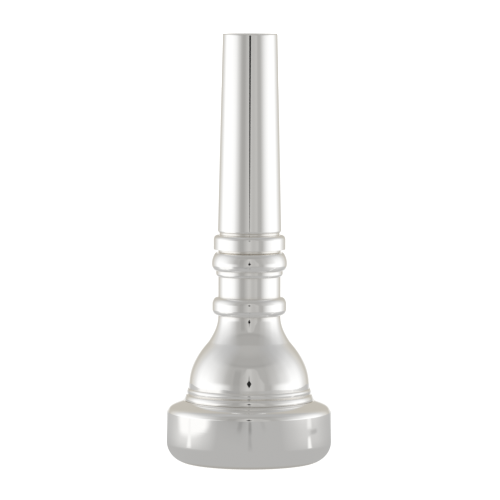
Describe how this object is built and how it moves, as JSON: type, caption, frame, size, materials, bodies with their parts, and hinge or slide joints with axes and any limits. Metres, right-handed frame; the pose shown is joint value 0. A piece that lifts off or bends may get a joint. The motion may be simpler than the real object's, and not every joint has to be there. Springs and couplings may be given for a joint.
{
  "type": "cornet mouthpiece",
  "caption": "Silver-plated brass cornet mouthpiece: rounded rim ring, bell-shaped cup with turned rings and a stem, and a long tapered shank with a backbore.",
  "frame": {"origin": "centre of the bottom of the bounding box, on the axis, at the rim's crest", "axes": "+Z along the bore from the rim to the open end of the shank; X and Y are any two directions across it"},
  "size_m": [0.027, 0.027, 0.0702],
  "materials": {
    "silver_plate": "silver plate over brass, polished to a mirror"
  },
  "bodies": {
    "root": {"rim": "silver_plate", "cup": "silver_plate", "shank": "silver_plate"}
  },
  "joints": []
}
